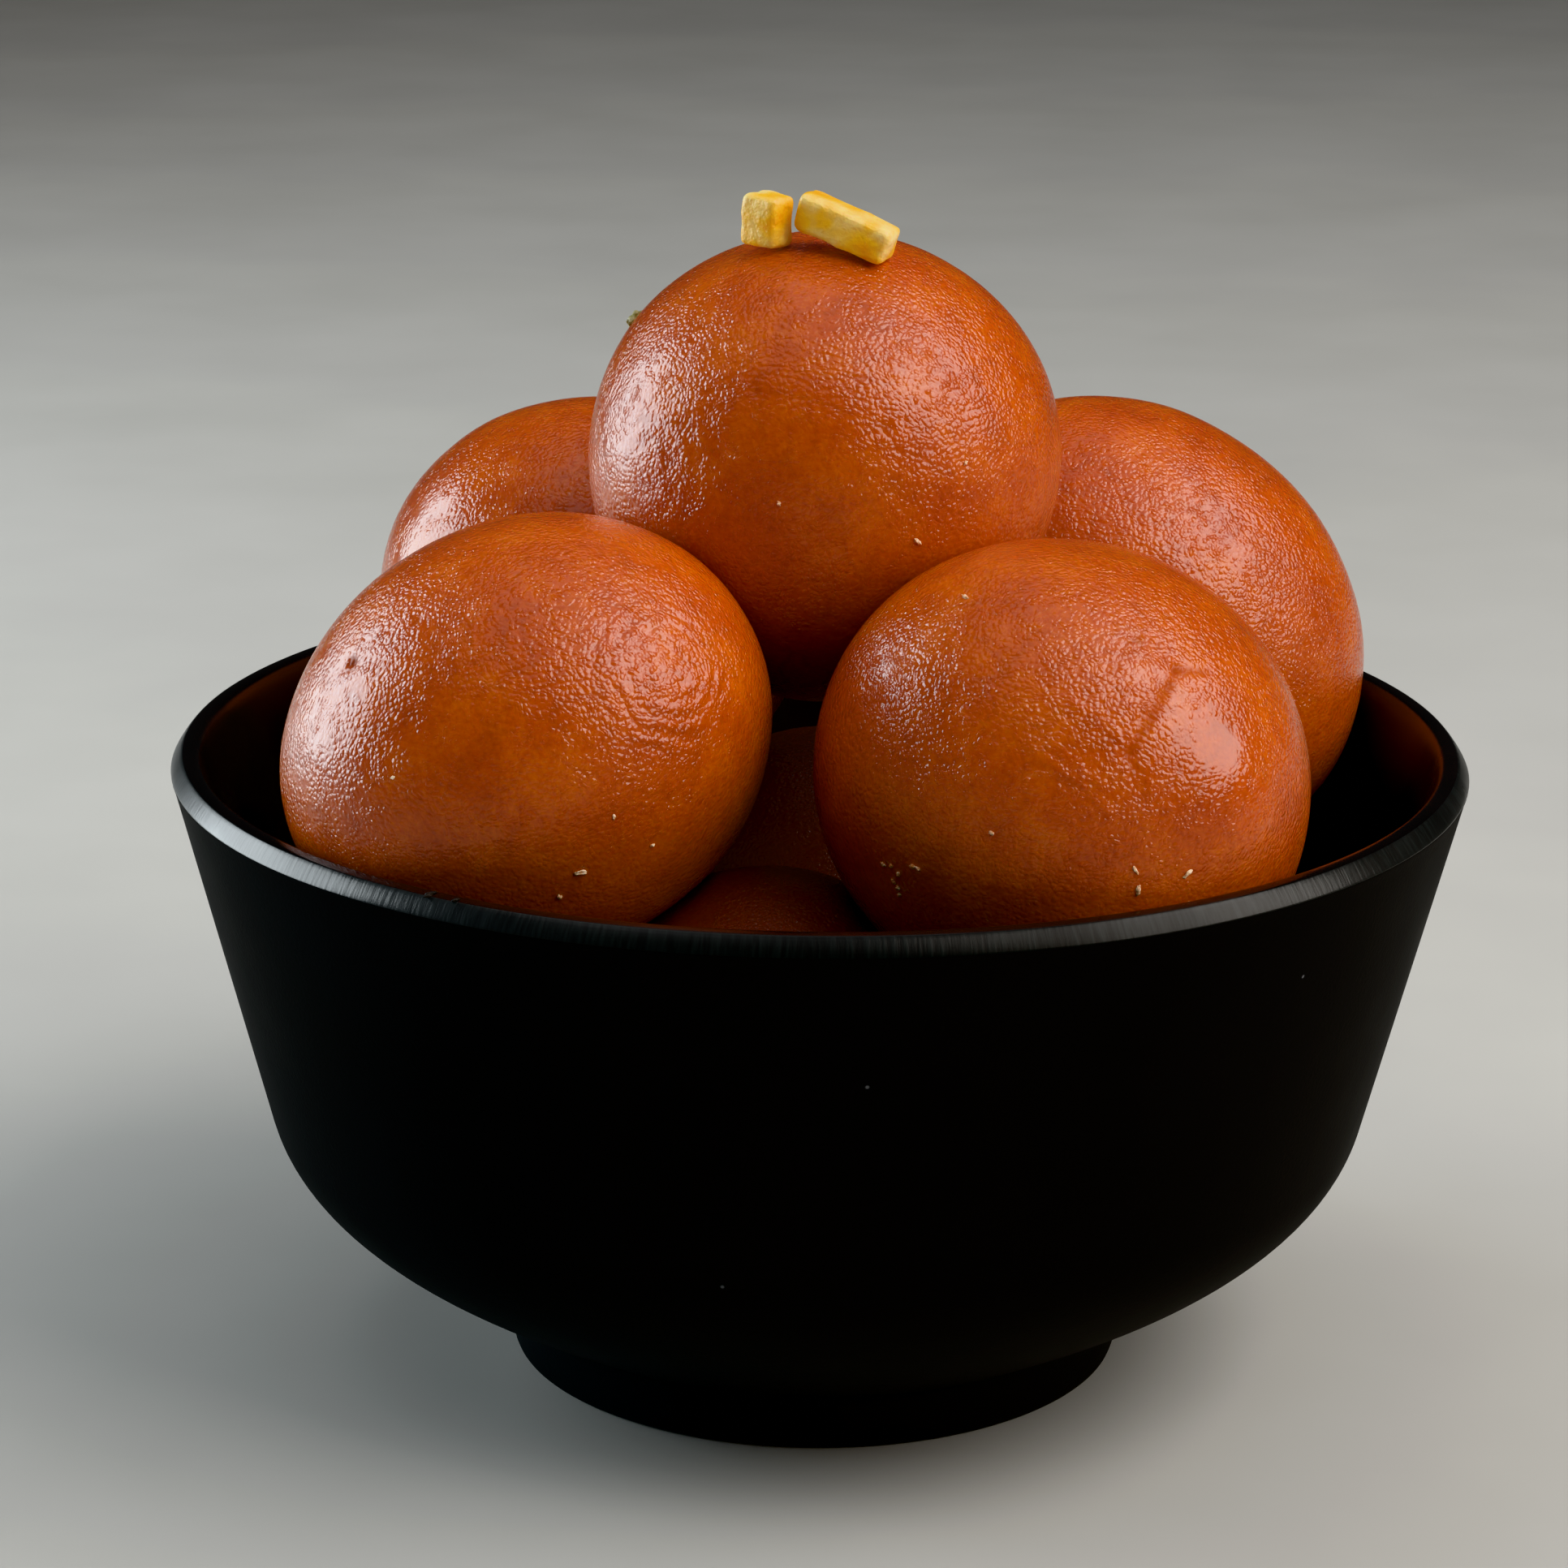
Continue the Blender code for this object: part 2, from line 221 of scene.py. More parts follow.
def melamine_rubbed():
    """The same melamine where the mould's flash was rubbed off: it mirrors the windows as a grey
    band, with faint scratches across it 0.4 mm apart. Its shine is painted by the angle round the
    bowl, as shade and highlight: lowest across the front and high everywhere else."""
    made, tree, shader, place = new_material("melamine_rubbed_lip")
    shader.inputs["IOR"].default_value = 1.5
    axes = add_node(tree, "SeparateXYZ", {"Vector": place})
    turn = add_node(tree, "Math", {"operation": "ARCTAN2", 0: axes.outputs[1], 1: axes.outputs[0]})
    reach = add_node(tree, "Math", {"operation": "MULTIPLY", 0: turn.outputs[0],
                                    1: LIP_OUTSIDE[0]})
    round_the_lip = add_node(tree, "CombineXYZ", {0: reach.outputs[0], 1: axes.outputs[2]})
    stretch = add_node(tree, "Mapping", {"Vector": round_the_lip.outputs[0],
                                         "Scale": (2.6, 0.35, 1.0)})
    scratch = add_node(tree, "TexNoise", {"Vector": stretch.outputs[0], "Scale": 1.0,
                                          "Detail": 3.0})
    cloud = add_node(tree, "TexNoise", {"Vector": place, "Scale": 0.12, "Detail": 3.0})
    tint = add_node(tree, "ValToRGB", {"Fac": scratch.outputs[0], "stops": [
        (0.38, colour("#0A0B0B")), (0.68, colour("#1E2121"))]})
    tree.links.new(tint.outputs[0], shader.inputs["Base Color"])
    sheen = add_node(tree, "MapRange", {"Value": cloud.outputs[0], "From Min": 0.3, "From Max": 0.7,
                                        "To Min": 0.26, "To Max": 0.36})
    tree.links.new(sheen.outputs[0], shader.inputs["Roughness"])
    # Painted shade and highlight: the lip's shine is turned down across the front and kept high at
    # the sides and back.
    share = add_node(tree, "Math", {"operation": "MULTIPLY_ADD", 0: turn.outputs[0],
                                    1: 1 / math.tau, 2: 0.5})
    dull = add_node(tree, "ValToRGB", {"Fac": share.outputs[0], "stops": [
        (0.16, colour("#E0E0E0")), (0.24, colour("#989898")), (0.30, colour("#747474")),
        (0.36, colour("#A8A8A8")), (0.43, colour("#F0F0F0"))]})
    tree.links.new(dull.outputs[0], shader.inputs["Specular IOR Level"])
    relief = add_node(tree, "Bump", {"Height": scratch.outputs[0], "Distance": 0.025 * MM})
    tree.links.new(relief.outputs[0], shader.inputs["Normal"])
    return made


def melamine_polished():
    """The same melamine pressed by the mould's polished half: black and clear, with a thin film
    of syrup that lies unevenly over 11 mm and makes the shine wander."""
    made, tree, shader, place = new_material("melamine_polished_inside")
    shader.inputs["IOR"].default_value = 1.5
    shader.inputs["Specular IOR Level"].default_value = 0.35
    cloud = add_node(tree, "TexNoise", {"Vector": place, "Scale": 0.09, "Detail": 4.0})
    tint = add_node(tree, "ValToRGB", {"Fac": cloud.outputs[0], "stops": [
        (0.35, colour("#0A0909")), (0.7, colour("#110F0F"))]})
    tree.links.new(tint.outputs[0], shader.inputs["Base Color"])
    sheen = add_node(tree, "MapRange", {"Value": cloud.outputs[0], "From Min": 0.3, "From Max": 0.7,
                                        "To Min": 0.16, "To Max": 0.30})
    tree.links.new(sheen.outputs[0], shader.inputs["Roughness"])
    relief = add_node(tree, "Bump", {"Height": cloud.outputs[0], "Distance": 0.05 * MM})
    tree.links.new(relief.outputs[0], shader.inputs["Normal"])
    return made


finish_piece("rice_bowl", make_bowl_shape(),
             [melamine_satin(), melamine_rubbed(), melamine_polished()], "melamine", "bowl")

# ---------------------------------------------------------------------------------------------
# The balls: milk dough rolled by hand, fried brown and soaked in syrup until it is soft. Each is
# uneven, is flat where it presses on another or on the wall, and its skin has drawn into fine
# wrinkles under a coat of syrup.

BALLS = {  # (degrees round the bowl, distance from its axis, height), half-sizes, lean, fullness
    "ball_top": ((-82.0, 2.4, 85.15), (21.3, 20.9, 21.55), -6.0, 0.060),
    "ball_front_left": ((224.6, 36.3, 65.9), (22.05, 20.8, 19.2), -28.0, 0.0),
    "ball_front_right": ((305.3, 36.1, 63.9), (21.8, 21.0, 20.8), 29.0, 0.0),
    "ball_back_left": ((129.7, 34.3, 65.3), (20.9, 21.4, 20.1), 8.0, 0.0),
    "ball_back_right": ((34.4, 36.5, 64.3), (24.4, 20.0, 21.0), 43.0, 0.0),
    "ball_low_front": ((259.0, 28.9, 34.2), (19.2, 20.0, 20.4), 8.0, 0.0),
    "ball_low_back": ((86.7, 25.8, 31.2), (20.6, 20.3, 21.0), -4.0, 0.0),
    "ball_low_left": ((179.0, 28.5, 33.0), (20.0, 20.4, 20.4), 5.0, 0.0),
    "ball_low_right": ((349.2, 26.8, 31.8), (20.2, 20.4, 20.0), 0.0, 0.0),
}
FINENESS = 7                     # icosphere steps; the low balls, mostly hidden, have one fewer
BALL_RADIUS = 21.0               # a middling ball, for distances over the skin
GAP = 0.3                        # between two balls
WALL_GAP = 0.45                  # between a ball and the wall
LOBE = 0.28                      # how uneven hand rolling leaves a ball
SHOULDER = 0.35                  # how softly a pressed flat rounds over
FAR_OUT = 8.0                    # from here on a ball simply gives way by all that is too much


def lobes(direction, number):
    """How far a hand-rolled ball stands proud of a true one, from -1 to 1: three slow waves, each
    along its own direction, and every ball with others."""
    height = 0.0
    for wave in range(3):
        turn = 2.4 * (wave + 1) + 1.7 * number
        pitch = 0.9 * wave + 0.6 * number
        flat = math.cos(pitch)
        axis = Vector((math.cos(turn) * flat, math.sin(turn) * flat, math.sin(pitch)))
        height += math.sin((2.3 + wave) * direction.dot(axis) + number + wave) / 3
    return height


def roll_ball(number, place, half_sizes, lean, fullness, fineness):
    """A ball before it is pressed: its shape and its middle."""
    shape = bmesh.new()
    bmesh.ops.create_icosphere(shape, subdivisions=fineness, radius=1.0)
    for vert in shape.verts:
        direction = vert.co.normalized()
        spread = 1 + fullness * direction.z
        point = Vector((direction.x * half_sizes[0] * spread, direction.y * half_sizes[1] * spread,
                        direction.z * half_sizes[2]))
        vert.co = point + direction * LOBE * lobes(direction, number)
    turn = Matrix.Rotation(math.radians(lean), 4, "Y")
    angle = math.radians(place[0])
    middle = Vector((place[1] * math.cos(angle), place[1] * math.sin(angle), place[2]))
    bmesh.ops.transform(shape, matrix=Matrix.Translation(middle) @ turn, verts=shape.verts)
    return shape, middle


def give(excess):
    """How far soft dough moves where it would stand excess too far out: flats round over softly."""
    if excess < -6 * SHOULDER:
        return 0.0
    return SHOULDER * math.log1p(math.exp(excess / SHOULDER)) if excess < FAR_OUT else excess


def press_on_wall(shape):
    """The wall flattens a ball. The straight wall's line is followed up past the lip as well."""
    wall = [FLOOR_MIDDLE, FLOOR_EDGE] + wall_inside()
    sides = []
    for low, high in zip(wall, wall[1:]):
        along = Vector((high[0] - low[0], high[1] - low[1])).normalized()
        sides.append((low, Vector((-along.y, along.x))))
    for vert in shape.verts:
        radius = math.hypot(vert.co.x, vert.co.y)
        clear, inward = min(((Vector((radius - low[0], vert.co.z - low[1])).dot(away), away)
                             for low, away in sides), key=lambda side: side[0])
        push = give(WALL_GAP - clear)
        if push > 0.0:
            scale = (radius + inward.x * push) / radius
            vert.co = Vector((vert.co.x * scale, vert.co.y * scale, vert.co.z + inward.y * push))


def press_together(first, first_middle, second, second_middle):
    """Two balls that overlap share a flat between them, with a gap."""
    apart = second_middle - first_middle
    direction = apart.normalized()
    sides = ((first, first_middle, direction), (second, second_middle, -direction))
    reaches = [max((vert.co - middle).dot(way) for vert in shape.verts)
               for shape, middle, way in sides]
    excess = sum(reaches) + GAP - apart.length
    if excess > 0:
        for (shape, middle, way), reach in zip(sides, reaches):
            for vert in shape.verts:
                vert.co -= way * give((vert.co - middle).dot(way) - reach + excess / 2)


def spot(turn, rise):
    """A direction on a ball: degrees to the guest's right, and degrees up."""
    turn, rise = math.radians(turn), math.radians(rise)
    level = math.cos(rise)
    return Vector((math.sin(turn) * level, -math.cos(turn) * level, math.sin(rise)))


def away_from(direction, place):
    """Distance over the skin between two directions."""
    return (direction - spot(*place)).length * BALL_RADIUS


def away_from_line(direction, start, end):
    """Distance over the skin from a line between two directions."""
    first, last = spot(*start), spot(*end)
    along = last - first
    share = max(0.0, min(1.0, (direction - first).dot(along) / along.length_squared))
    return (direction - (first + along * share).normalized()).length * BALL_RADIUS


def bell(distance, width):
    """1 at a mark's middle, fading softly to 0 past its width."""
    return math.exp(-(distance / width) ** 2)


# Single marks on each ball. A place is the two angles that spot() takes; the rest is in mm.
PITS = {  # (place, width, depth)
    "ball_front_left": [((-56, 29), 0.60, 0.36), ((-38, 44), 0.4, 0.1)],
    "ball_front_right": [((22, 49), 0.4, 0.14), ((40, 55), 0.4, 0.14), ((28, 47), 0.35, 0.1)],
    "ball_top": [((-20, 30), 0.5, 0.10), ((14, 22), 0.6, 0.10)],
}
FOLDS = {  # (start, end, width, height); a negative height is a groove, the rest are ridges
    "ball_front_right": [
        ((12, 22), (31, 40), 0.45, -0.17), ((31, 40), (42, 38), 0.42, -0.14),
        ((12, 22), (15, 12), 0.4, -0.08), ((-11, 22), (1, 15), 0.35, 0.12),
        ((-7, 24), (5, 15), 0.3, 0.10), ((4, 12), (7, 8), 0.3, 0.10),
        ((10, 40), (20, 50), 0.5, -0.04), ((-2, 34), (9, 27), 0.45, 0.07),
    ],
    "ball_front_left": [((-60, -14), (-46, -26), 0.5, 0.09), ((-52, -6), (-40, -22), 0.5, 0.08)],
}
RIPPLES = {  # rings of wrinkles round a place: (place, ring spacing, reach, height)
    "ball_front_left": [((43, 28), 1.5, 8.0, 0.08)],
    "ball_top": [((-52, 8), 2.3, 11.0, 0.045)],
}
CALM = {  # skin drawn tight: (place, reach, how calm, how far flattened; negative is a bulge)
    "ball_front_right": [((37, 19), 4.2, 0.8, 0.0), ((39, 6), 4.2, 0.0, -0.6),
                         ((-48, 18), 8.0, 0.15, 0.0)],
    "ball_front_left": [((-66, 20), 10.0, 0.35, 0.0), ((-12, 6), 8.0, 0.45, 0.0)],
    "ball_top": [((-66, 15), 9.0, 0.35, 0.0), ((-8, 20), 7.0, 0.4, 0.0)],
    "ball_back_left": [((-60, 15), 12.0, 0.6, 0.0)],
}
DIMPLE = 0.10                    # the depths of the skin's own unevenness, from wide to fine
PEBBLE = 0.014
GRAIN = 0.008
WRINKLE = 0.010
WRINKLE_WIDTH = 0.10             # of the noise's height, so about 0.3 mm over the skin
# painted shade in the wrinkles' creases
WRINKLE_SHADE = 0.15
LOW_BALL_SHADE = 1.0                     # painted shade: how much dark brown the low balls get, deep in the heap and the syrup
SIDE_SHADE = 0.75                  # painted shade: the same on sides that face down or towards the other balls
SIDE_SHADE_TURN = 0.9                   # how squarely a side faces that way where its painted shade is darkest
INWARDS, DOWNWARDS = 40.0, 0.8   # that way: its distance from the axis over 40, and down by 0.8
LOW_BALL_DULL = 0.6                    # painted shade: how much of their coat's shine the low balls lose
FLAT_SPREAD = 1.3                # a flattening reaches this much further than the calm on it
RING_FADE = 0.7                  # how squarely the rings fade in and out; 1 is softest
RING_WANDER = 4.0                # radians that a ripple strays from a true ring
PIT_DARKENING, PIT_DULL = 1.8, 3.5    # how much darker and duller a pit is painted, for each millimetre of depth
# painted shade in the grooves: how much of the coat's shine they lose, for each mm of depth
GROOVE_DULL = 5.0
BEND_SEED = 7
noise.seed_set(BEND_SEED)        # so that the wrinkles bend the same way each time


def skin_height(name, number, middle, direction, point):
    """How far the wrinkled skin stands above the smooth ball in mm, how much dark brown is painted
    on it as shade and in its pits, how calm it is, and how much of its coat's shine is painted
    out. Each noise is read at a length in mm, the width of its lumps, and each ball reads
    another part of it."""
    where = point + Vector((31.0 * number, 17.0 * number, 7.0 * number))
    bent = where + noise.noise_vector(where / 6.0) * 1.6
    strong = 0.55 + 0.75 * max(0.0, noise.noise(where / 9.0) + 0.35)     # rougher in some parts
    pebbles = noise.noise(bent / 1.1) * PEBBLE + noise.noise(where / 0.6) * GRAIN
    crease = max(0.0, 1.0 - abs(noise.noise(bent / 3.0)) / WRINKLE_WIDTH)
    wrinkles = -WRINKLE * crease * crease
    # Painted shade: the low balls, and the sides of the others that face down and in towards their
    # neighbours, get the dark brown.
    inside = Vector((-middle.x, -middle.y, 0.0)) / INWARDS + Vector((0.0, 0.0, -DOWNWARDS))
    share = min(1.0, max(0.0, direction.dot(inside.normalized()) / SIDE_SHADE_TURN))
    heap_shade = LOW_BALL_SHADE if "low" in name else SIDE_SHADE * share * share * (3 - 2 * share)
    # Painted shade in the wrinkles' creases, added to the heap's painted shade.
    brown = WRINKLE_SHADE * crease + heap_shade
    # Painted shade: the low balls lose some of their coat's shine.
    dry = LOW_BALL_DULL if "low" in name else 0.0
    calm = 0.0
    height = noise.noise(where / 8.0) * DIMPLE
    for place, reach, strength, flat in CALM.get(name, ()):
        calm += strength * bell(away_from(direction, place), reach)
        height -= flat * bell(away_from(direction, place), reach * FLAT_SPREAD)
    height += (pebbles + wrinkles) * strong * (1.0 - calm)
    for place, spacing, reach, rise in RIPPLES.get(name, ()):
        distance = away_from(direction, place)
        if distance < reach:
            fade = math.sin(math.pi * distance / reach) ** RING_FADE
            uneven = 0.6 + 0.9 * noise.noise(bent / 2.5)     # some rings stand higher
            wander = RING_WANDER * noise.noise(where / 3.5)
            height += rise * fade * uneven * math.sin(math.tau * distance / spacing + wander)
    for place, width, depth in PITS.get(name, ()):
        hollow = bell(away_from(direction, place), width)
        height -= depth * hollow
        # The pits are painted darker and duller the deeper they are.
        brown += PIT_DARKENING * depth * hollow
        dry += PIT_DULL * depth * hollow
    for start, end, width, rise in FOLDS.get(name, ()):
        ragged = 1.0 + 0.5 * noise.noise(bent)
        fold = bell(away_from_line(direction, start, end) * ragged, width)
        height += rise * fold
        # Painted shade in the grooves: they get the dark brown and lose their coat's shine.
        brown += max(0.0, -rise) * fold
        dry += max(0.0, -rise) * GROOVE_DULL * fold
    return height, min(1.0, brown), calm, min(1.0, dry)


def wrinkle_skin(name, number, shape, middle):
    """Moves each point of the skin in or out, and notes there how much painted shade and darkening,
    calm and painted-out shine it has.
    """
    brown = shape.verts.layers.float.new("brown")
    calm = shape.verts.layers.float.new("calm")
    dry = shape.verts.layers.float.new("dry")
    shape.normal_update()
    for vert in shape.verts:
        direction = (vert.co - middle).normalized()
        height, vert[brown], vert[calm], vert[dry] = skin_height(
            name, number, middle, direction, vert.co)
        vert.co += vert.normal * height


def fried_dough():
    """Fried milk dough, soaked and glazed with syrup: brownish orange, patchy over 6 mm and
    freckled over 0.6 mm, and slightly clear, so light goes a little way in. A dark brown is
    mixed in as painted shade on the low balls, on sides that face down or towards the other
    balls and in creases and grooves, and the pits are darkened too. The syrup is a wet coat that
    follows the skin's 0.4 mm beads and breaks each window up into dots, while the dough under it
    is nearly smooth. Where the skin is calm the windows show whole, and where the coat's shine
    is painted out, as shade and in the pits, they don't show."""
    made, tree, shader, place = new_material("fried_dough_syrup_glazed")
    shader.inputs["IOR"].default_value = 1.45
    shader.inputs["Specular IOR Level"].default_value = 0.12
    shader.inputs["Subsurface Weight"].default_value = 0.35
    shader.inputs["Subsurface Radius"].default_value = (1.0, 0.28, 0.08)
    shader.inputs["Subsurface Scale"].default_value = 3.0 * MM
    shader.inputs["Coat Roughness"].default_value = 0.13
    shader.inputs["Coat IOR"].default_value = 1.6
    patches = add_node(tree, "TexNoise", {"Vector": place, "Scale": 0.16, "Detail": 4.0,
                                          "Roughness": 0.6})
    freckles = add_node(tree, "TexNoise", {"Vector": place, "Scale": 1.8, "Detail": 3.0,
                                           "Roughness": 0.6})
    blend = add_node(tree, "Mix", {"data_type": "FLOAT", 0: 0.4, 2: patches.outputs[0],
                                   3: freckles.outputs[0]})
    tint = add_node(tree, "ValToRGB", {"Fac": blend.outputs[0], "stops": [
        (0.34, colour("#A63E00")), (0.50, colour("#B84C00")), (0.66, colour("#C85E06"))]})
    # Painted shade: a dark brown is mixed in on the low balls, on sides facing down or in, in
    # creases and grooves; the pits get it too.
    brown = add_node(tree, "Attribute", {"attribute_name": "brown"})
    tint = add_node(tree, "Mix", {"data_type": "RGBA", 0: brown.outputs["Fac"],
                                  6: tint.outputs[0], 7: colour("#5C1E02")})
    tree.links.new(tint.outputs[2], shader.inputs["Base Color"])
    warp = add_node(tree, "TexNoise", {"Vector": place, "Scale": 0.5, "Detail": 2.0})
    drift = add_node(tree, "VectorMath", {"operation": "MULTIPLY_ADD", 0: warp.outputs["Color"],
                                          1: (0.9, 0.9, 0.9), 2: place})
    cells = add_node(tree, "TexVoronoi", {"Vector": drift.outputs[0], "Scale": 2.4})
    dome = add_node(tree, "MapRange", {"interpolation_type": "SMOOTHSTEP",
                                       "Value": cells.outputs["Distance"], "From Min": 0.1,
                                       "From Max": 0.9, "To Min": 2.0, "To Max": 0.0})
    size = add_node(tree, "MapRange", {"Value": cells.outputs["Color"], "To Min": 0.35})
    beads = add_node(tree, "Math", {"operation": "MULTIPLY", 0: dome.outputs[0],
                                    1: size.outputs[0]})
    grain = add_node(tree, "TexNoise", {"Vector": drift.outputs[0], "Scale": 2.6, "Detail": 3.0,
                                        "Roughness": 0.6})
    height = add_node(tree, "Math", {"operation": "ADD", 0: beads.outputs[0],
                                     1: grain.outputs[0]})
    worn = add_node(tree, "MapRange", {"Value": warp.outputs[0], "From Min": 0.35, "From Max": 0.65,
                                       "To Min": 0.5, "To Max": 1.0})
    calm = add_node(tree, "Attribute", {"attribute_name": "calm"})
    rough = add_node(tree, "Math", {"operation": "SUBTRACT", 0: worn.outputs[0],
                                    1: calm.outputs["Fac"], "use_clamp": True})
    dough_relief = add_node(tree, "Bump", {"Height": height.outputs[0], "Distance": 0.016 * MM})
    tree.links.new(dough_relief.outputs[0], shader.inputs["Normal"])
    syrup_relief = add_node(tree, "Bump", {"Height": height.outputs[0], "Distance": 0.085 * MM,
                                           "Strength": rough.outputs[0]})
    tree.links.new(syrup_relief.outputs[0], shader.inputs["Coat Normal"])
    # Painted shade: the coat's shine is taken away on the low balls and in grooves; the pits lose
    # it too.
    dry = add_node(tree, "Attribute", {"attribute_name": "dry"})
    wet = add_node(tree, "Math", {"operation": "SUBTRACT", 0: 1.0, 1: dry.outputs["Fac"]})
    tree.links.new(wet.outputs[0], shader.inputs["Coat Weight"])
    sheen = add_node(tree, "MapRange", {"Value": freckles.outputs[0], "From Min": 0.3,
                                        "From Max": 0.7, "To Min": 0.38, "To Max": 0.52})
    tree.links.new(sheen.outputs[0], shader.inputs["Roughness"])
    return made


dough = fried_dough()
rolled = [roll_ball(number, *ball, FINENESS - ("low" in name))
          for number, (name, ball) in enumerate(BALLS.items())]
for shape, middle in rolled:
    press_on_wall(shape)
for first in range(len(rolled)):
    for second in range(first + 1, len(rolled)):
        press_together(*rolled[first], *rolled[second])
skins = {}
middles = {}
for number, (name, (shape, middle)) in enumerate(zip(BALLS, rolled)):
    middles[name] = middle
    wrinkle_skin(name, number, shape, middle)
    skins[name] = finish_piece("gulab_jamun" + name[4:], shape, [dough], "glazed_dough", name)

# ---------------------------------------------------------------------------------------------
# The nut slivers: two pieces cut from a nut and dyed with saffron, laid on the top ball's syrup.
# The left one is a short block on its end, the right one a longer wedge lying down.

# Size, place, turn, lean of the far end, how much that end is thinner, and how far the near
# end's cut leans out at its top.
NUTS = {
    "nut_left": ((3.9, 3.2, 4.6), (-5.2, -5.8), -38.0, 3.0, 0.0, 0.0),
    "nut_right": ((8.7, 3.8, 3.4), (2.0, -7.8), -22.0, 19.5, 0.04, 0.55),
}
SOFT_EDGE = 0.65                 # how far back from a cut edge the nut has softened
SOFTENINGS = 5
FIBRES = (4.0, 0.7, 0.7)         # length and thickness of the nut's grain
FIBRE_RELIEF = 0.05
KNIFE_WAVE = 0.16                # how uneven the knife left the faces
KNIFE_WAVE_LENGTH = 1.7
SYRUP_FILM = 0.05                # between the slivers and the ball


def cut_sliver(size, place, turn, lean, slant, overhang, seed):
    """A sliver with knife-cut faces that are a little hollow and edges that have softened."""
    shape = bmesh.new()
    bmesh.ops.create_cube(shape, size=1.0)
    for vert in shape.verts:
        taper = 1 - slant * (vert.co.x + 0.5)
        near_top = (0.5 - vert.co.x) * (0.5 + vert.co.z)
        vert.co = Vector((vert.co.x * size[0] - overhang * near_top, vert.co.y * size[1] * taper,
                          vert.co.z * size[2] * taper))
    bmesh.ops.bevel(shape, geom=shape.edges[:], offset=SOFT_EDGE, offset_type="OFFSET",
                    segments=3, profile=0.5, affect="EDGES", material=-1)
    bmesh.ops.subdivide_edges(shape, edges=shape.edges[:], cuts=5, use_grid_fill=True)
    for _ in range(SOFTENINGS):
        bmesh.ops.smooth_vert(shape, verts=shape.verts, factor=0.5, use_axis_x=True,
                              use_axis_y=True, use_axis_z=True)
    shape.normal_update()
    for vert in shape.verts:
        where = vert.co + Vector((seed, 2.0 * seed, 0.0))
        grain = Vector((where.x / FIBRES[0], where.y / FIBRES[1], where.z / FIBRES[2]))
        vert.co += vert.normal * (KNIFE_WAVE * noise.noise(where / KNIFE_WAVE_LENGTH)
                                  + FIBRE_RELIEF * noise.noise(grain))
    tilt = (Matrix.Rotation(math.radians(turn), 4, "Z")
            @ Matrix.Rotation(math.radians(lean), 4, "Y"))
    above = Matrix.Translation((*place, 2 * TOP))
    bmesh.ops.transform(shape, matrix=above @ tilt, verts=shape.verts)
    return shape


def skin_to_hit(name):
    """A finished ball's skin in millimetres, which says where a straight line meets it."""
    skin = skins[name].data
    return BVHTree.FromPolygons([vert.co / MM for vert in skin.vertices],
                                [face.vertices for face in skin.polygons])


def lay_on(shape, crown, gap):
    """Drops a shape straight down until it is a gap above a finished skin."""
    drops = []
    for vert in shape.verts:
        hit = crown.ray_cast(vert.co, Vector((0.0, 0.0, -1.0)))
        if hit[0] is not None:
            drops.append(vert.co.z - hit[0].z)
    bmesh.ops.translate(shape, vec=(0.0, 0.0, gap - min(drops)), verts=shape.verts)


def saffron_nut():
    """A blanched nut dyed with saffron: waxy, deep yellow where the dye has soaked in and pale
    cream where the knife opened it, in stains 4 mm wide, with fibres 0.6 mm wide."""
    made, tree, shader, place = new_material("blanched_nut_saffron_dyed")
    shader.inputs["IOR"].default_value = 1.46
    shader.inputs["Subsurface Weight"].default_value = 0.3
    shader.inputs["Subsurface Radius"].default_value = (1.0, 0.6, 0.2)
    shader.inputs["Subsurface Scale"].default_value = 0.8 * MM
    shader.inputs["Coat Weight"].default_value = 0.35
    shader.inputs["Coat Roughness"].default_value = 0.25
    stains = add_node(tree, "TexNoise", {"Vector": place, "Scale": 0.26, "Detail": 2.0})
    tint = add_node(tree, "ValToRGB", {"Fac": stains.outputs[0], "stops": [
        (0.34, colour("#F09E0C")), (0.50, colour("#FFC430")), (0.68, colour("#FFE294"))]})
    tree.links.new(tint.outputs[0], shader.inputs["Base Color"])
    fibres = add_node(tree, "TexNoise", {"Vector": place, "Scale": 1.6, "Detail": 4.0})
    relief = add_node(tree, "Bump", {"Height": fibres.outputs[0], "Distance": 0.2 * MM})
    tree.links.new(relief.outputs[0], shader.inputs["Normal"])
    sheen = add_node(tree, "MapRange", {"Value": fibres.outputs[0], "From Min": 0.3,
                                        "From Max": 0.7, "To Min": 0.36, "To Max": 0.5})
    tree.links.new(sheen.outputs[0], shader.inputs["Roughness"])
    return made


nut = saffron_nut()
top_skin = skin_to_hit("ball_top")
for number, (name, sliver) in enumerate(NUTS.items()):
    shape = cut_sliver(*sliver, 3.0 + 8.0 * number)
    lay_on(shape, top_skin, SYRUP_FILM)
    finish_piece("saffron_" + name, shape, [nut], "nut", name)

# ---------------------------------------------------------------------------------------------
# The crumbs: bits of dough that broke off in the pan and dried pale on the skin, one scrap of
# green nut on the top ball's left side, and two dark flecks stuck on the bowl's lip.

